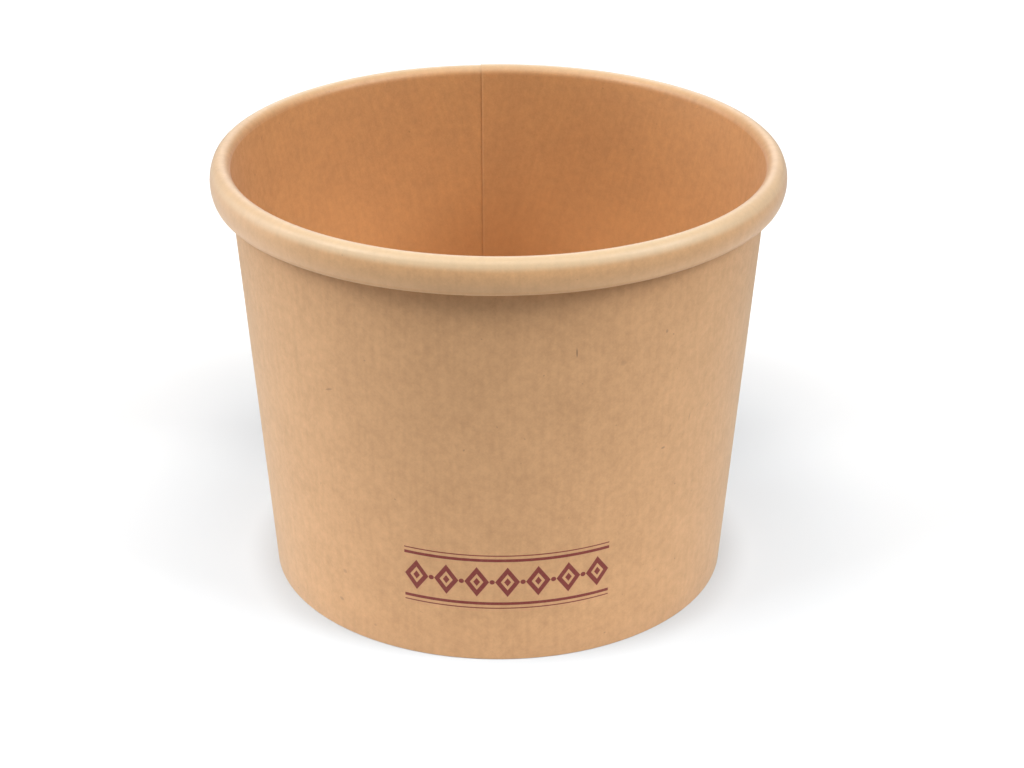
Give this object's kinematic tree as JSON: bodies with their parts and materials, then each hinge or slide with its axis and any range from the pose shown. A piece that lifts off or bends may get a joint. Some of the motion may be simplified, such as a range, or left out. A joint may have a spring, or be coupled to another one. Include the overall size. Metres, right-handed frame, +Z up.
{
  "type": "paper soup cup",
  "caption": "Short disposable soup cup of brown paperboard with a curled rim, a lapped side seam and a raised base held in a folded foot.",
  "frame": {"origin": "centre of the cup on the table it stands on", "axes": "+Z up out of the mouth, -Y toward the camera of the picture, the side seam at the back"},
  "size_m": [0.09, 0.0903, 0.07],
  "materials": {
    "wall_board": "matte",
    "base_board": "matte"
  },
  "bodies": {
    "root": {"side_wall": "wall_board", "base_disc": "base_board"}
  },
  "joints": []
}
